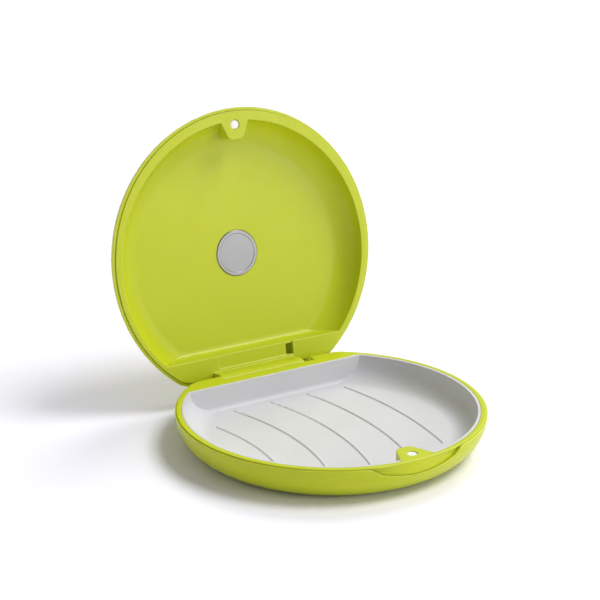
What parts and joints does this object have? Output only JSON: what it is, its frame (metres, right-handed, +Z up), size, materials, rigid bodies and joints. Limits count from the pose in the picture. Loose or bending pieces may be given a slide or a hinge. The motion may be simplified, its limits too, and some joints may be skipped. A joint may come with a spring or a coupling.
{
  "type": "orthodontic retainer case",
  "caption": "Round flat-backed hinged case for dental retainers, lid standing open on its stop, with a coved inner tray, magnet tabs, a thumb recess and a pinned barrel hinge.",
  "frame": {"origin": "centre of the base's round outline, on the flat face that the base stands on", "axes": "+Z up, +Y from the thumb recess at the front to the hinge at the back, +X along the hinge pin"},
  "size_m": [0.095, 0.113, 0.0933],
  "materials": {
    "lime_plastic": "satin moulded plastic",
    "grey_plastic": "satin moulded plastic",
    "magnet": "pale coated disc magnet",
    "steel": "drawn wire",
    "satin_silver": "satin"
  },
  "bodies": {
    "base": {"base_shell": "lime_plastic", "base_frame": "lime_plastic", "base_liner": "grey_plastic", "base_magnet": "magnet", "hinge_pin": "steel"},
    "lid": {"lid_shell": "lime_plastic", "lid_panel": "lime_plastic", "lid_magnet": "magnet", "lid_badge": "satin_silver"}
  },
  "joints": [
    {"name": "lid_hinge", "type": "hinge", "parent": "base", "child": "lid", "pos_m": [0, 0.0398, 0.0079], "axis": [1, 0, 0], "range_deg": [0, 99.5]}
  ]
}
